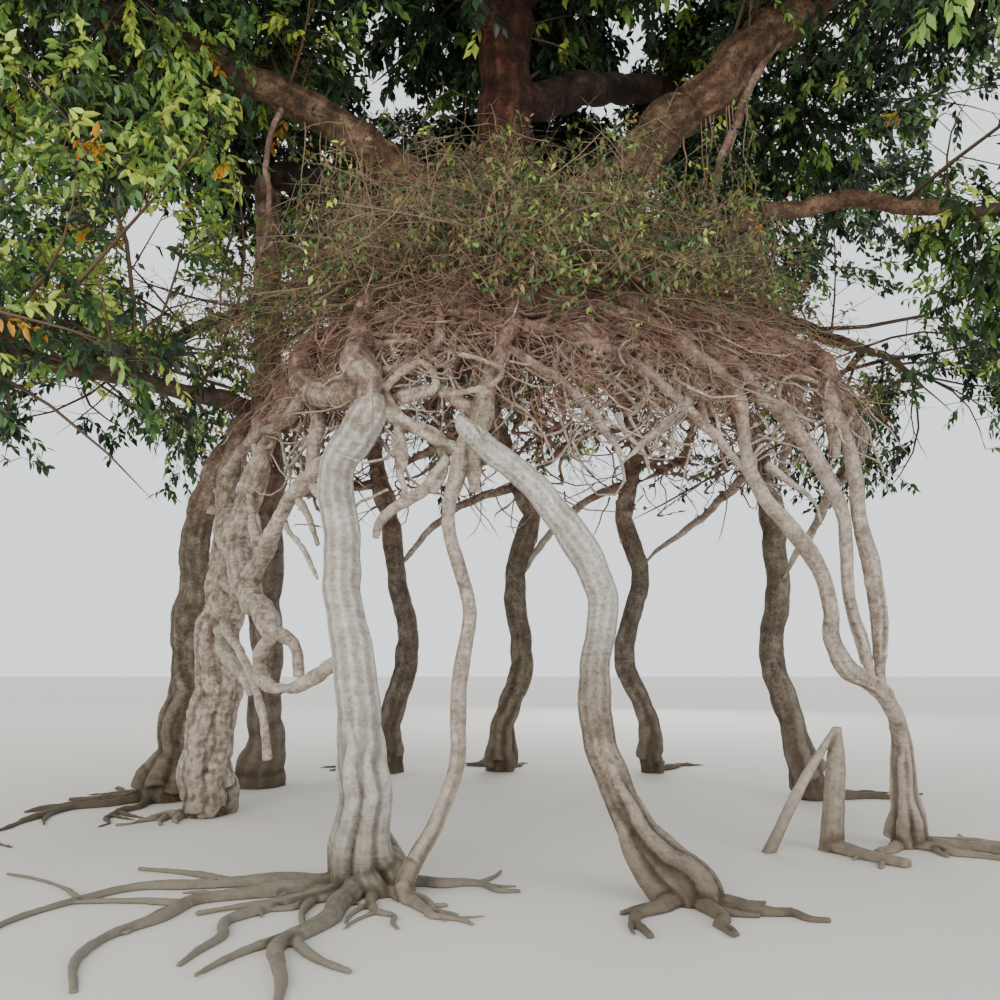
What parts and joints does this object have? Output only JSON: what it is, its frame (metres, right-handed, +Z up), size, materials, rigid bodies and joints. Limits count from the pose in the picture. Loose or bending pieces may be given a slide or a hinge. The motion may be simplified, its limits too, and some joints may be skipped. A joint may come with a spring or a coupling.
{
  "type": "banyan tree",
  "caption": "Banyan tree perched on a hollow cage of its own roots, with root stems down to the ground, a trunk above, spreading boughs and a wide leafy crown.",
  "frame": {"origin": "centre of the flat cut under the main stem, at ground level", "axes": "+Z up, -Y towards the viewer of the picture, +X to the viewer's right"},
  "size_m": [14.1197, 13.0854, 11.2157],
  "materials": {
    "bark": "rough bark",
    "foliage": "leafy, semi-matt"
  },
  "bodies": {
    "root": {"trunk": "bark", "main_stem": "bark", "thin_front_stem": "bark", "bent_front_stem": "bark", "right_front_stem": "bark", "right_inner_stem": "bark", "right_outer_stem": "bark", "left_outer_stem": "bark", "left_inner_stem": "bark", "back_stem_left": "bark", "back_stem_middle": "bark", "back_stem_right": "bark", "right_stem": "bark", "broken_roots": "bark", "front_left_shoulder": "bark", "front_right_shoulder": "bark", "right_front_shoulder": "bark", "right_shoulder": "bark", "right_back_shoulder": "bark", "back_right_shoulder": "bark", "back_middle_shoulder": "bark", "back_left_shoulder": "bark", "left_shoulder": "bark", "bough_right_high": "bark", "bough_left_high": "bark", "bough_right_low": "bark", "bough_left_low": "bark", "bough_back_left": "bark", "bough_back_low_left": "bark", "bough_back_low_right": "bark", "bough_back": "bark", "bough_back_right": "bark", "bough_front_right": "bark", "bough_front": "bark", "bough_front_left": "bark", "prop_stem": "bark", "aerial_root_right": "bark", "aerial_root_middle": "bark", "aerial_root_left": "bark", "foliage_right_high": "foliage", "foliage_right_low": "foliage", "foliage_left_high": "foliage", "foliage_left_low": "foliage", "foliage_back_left": "foliage", "foliage_back_low_left": "foliage", "foliage_back_low_right": "foliage", "foliage_back": "foliage", "foliage_back_right": "foliage", "foliage_front_right": "foliage", "foliage_front": "foliage", "foliage_front_left": "foliage", "foliage_top_left": "foliage", "foliage_top_right": "foliage", "foliage_top_back": "foliage", "thicket_front_left": "bark", "thicket_front_right": "bark", "thicket_back_left": "bark", "thicket_back_right": "bark"}
  },
  "joints": []
}
